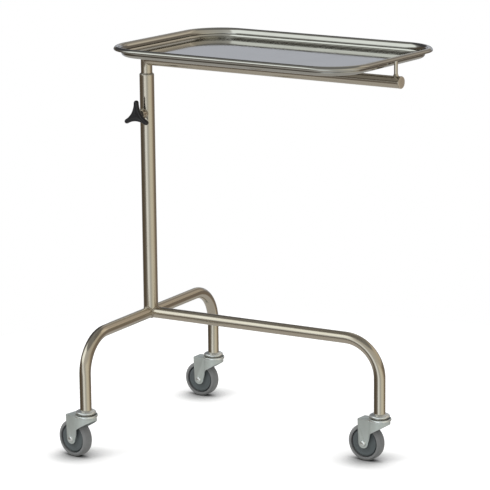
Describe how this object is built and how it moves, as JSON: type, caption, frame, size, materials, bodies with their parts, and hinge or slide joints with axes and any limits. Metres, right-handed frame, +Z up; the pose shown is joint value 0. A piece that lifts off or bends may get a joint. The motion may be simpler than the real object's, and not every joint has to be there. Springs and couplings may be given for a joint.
{
  "type": "mayo instrument stand",
  "caption": "Wheeled instrument stand: T-shaped tube base, telescopic rear column with clamp knob, swinging arm and a lift-off rimmed tray.",
  "frame": {"origin": "on the floor, at the middle of the whole stand's footprint, with the arm swung as in the picture", "axes": "+Z up; +X along the spine of the base, away from the column; +Y to the left when facing along +X"},
  "size_m": [0.714, 0.586, 0.877],
  "materials": {
    "satin_tube": "satin stainless tube, fine polishing lines round it",
    "collar_steel": "turned collar",
    "tray_steel": "polished stainless sheet",
    "knob_black": "moulded black plastic with a soft sheen",
    "pin_steel": "turned steel",
    "pad_brass": "turned brass",
    "plug_plastic": "moulded nylon",
    "bright_zinc": "bright zinc plate on pressed steel",
    "hub_plastic": "moulded dark grey plastic",
    "tyre_grey": "grey non-marking rubber"
  },
  "bodies": {
    "frame": {"cross_tube": "satin_tube", "spine_tube": "satin_tube", "column_tube": "satin_tube", "clamp_boss": "satin_tube", "guide_bush": "collar_steel", "front_stem_plug": "plug_plastic", "front_kingpin": "pin_steel", "front_top_race": "bright_zinc", "left_stem_plug": "plug_plastic", "left_kingpin": "pin_steel", "left_top_race": "bright_zinc", "right_stem_plug": "plug_plastic", "right_kingpin": "pin_steel", "right_top_race": "bright_zinc"},
    "glide": {"column_glide": "plug_plastic"},
    "mast": {"inner_column": "satin_tube", "arm_tube": "satin_tube", "arm_end_cap": "satin_tube", "rear_ring_post": "satin_tube", "front_ring_post": "satin_tube", "tray_ring": "satin_tube"},
    "tray": {"tray": "tray_steel"},
    "clamp_tip": {"pressure_pad": "pad_brass"},
    "clamp_handle": {"clamp_knob": "knob_black", "clamp_stud": "pin_steel"},
    "front_swivel": {"front_bearing_ring": "pin_steel", "front_fork": "bright_zinc", "front_axle_sleeve": "pin_steel", "front_axle_bolt": "bright_zinc", "front_axle_nut": "bright_zinc"},
    "front_wheel": {"front_wheel_hub": "hub_plastic", "front_tyre": "tyre_grey"},
    "left_swivel": {"left_bearing_ring": "pin_steel", "left_fork": "bright_zinc", "left_axle_sleeve": "pin_steel", "left_axle_bolt": "bright_zinc", "left_axle_nut": "bright_zinc"},
    "left_wheel": {"left_wheel_hub": "hub_plastic", "left_tyre": "tyre_grey"},
    "right_swivel": {"right_bearing_ring": "pin_steel", "right_fork": "bright_zinc", "right_axle_sleeve": "pin_steel", "right_axle_bolt": "bright_zinc", "right_axle_nut": "bright_zinc"},
    "right_wheel": {"right_wheel_hub": "hub_plastic", "right_tyre": "tyre_grey"}
  },
  "joints": [
    {"name": "column_slide", "type": "slide", "parent": "frame", "child": "glide", "axis": [0, 0, 1], "range_m": [-0.014, 0.38]},
    {"name": "arm_swing", "type": "hinge", "parent": "glide", "child": "mast", "pos_m": [-0.28451, 0, 0.7], "axis": [0, 0, 1], "continuous": true},
    {"name": "tray_lift", "type": "slide", "parent": "mast", "child": "tray", "axis": [0, 0, 1], "range_m": [0, 0.15]},
    {"name": "clamp_advance", "type": "slide", "parent": "frame", "child": "clamp_tip", "axis": [0, -1, 0], "range_m": [0, 0.003]},
    {"name": "knob_turn", "type": "hinge", "parent": "clamp_tip", "child": "clamp_handle", "pos_m": [-0.28451, -0.045, 0.708], "axis": [0, -1, 0], "range_deg": [0, 720]},
    {"name": "front_swivel_turn", "type": "hinge", "parent": "frame", "child": "front_swivel", "pos_m": [0.28049, 0, 0.1], "axis": [0, 0, 1], "continuous": true},
    {"name": "front_wheel_roll", "type": "hinge", "parent": "front_swivel", "child": "front_wheel", "pos_m": [0.24861, 0.00279, 0.04], "axis": [0.0872, 0.9962, 0], "continuous": true},
    {"name": "left_swivel_turn", "type": "hinge", "parent": "frame", "child": "left_swivel", "pos_m": [-0.28451, 0.268, 0.1], "axis": [0, 0, 1], "continuous": true},
    {"name": "left_wheel_roll", "type": "hinge", "parent": "left_swivel", "child": "left_wheel", "pos_m": [-0.3165, 0.26912, 0.04], "axis": [0.0349, 0.9994, 0], "continuous": true},
    {"name": "right_swivel_turn", "type": "hinge", "parent": "frame", "child": "right_swivel", "pos_m": [-0.28451, -0.268, 0.1], "axis": [0, 0, 1], "continuous": true},
    {"name": "right_wheel_roll", "type": "hinge", "parent": "right_swivel", "child": "right_wheel", "pos_m": [-0.31603, -0.26244, 0.04], "axis": [0.1736, 0.9848, 0], "continuous": true}
  ],
  "couplings": [
    {"joint": "clamp_advance", "follows": "knob_turn", "m_per_rad": 0.00023873}
  ]
}
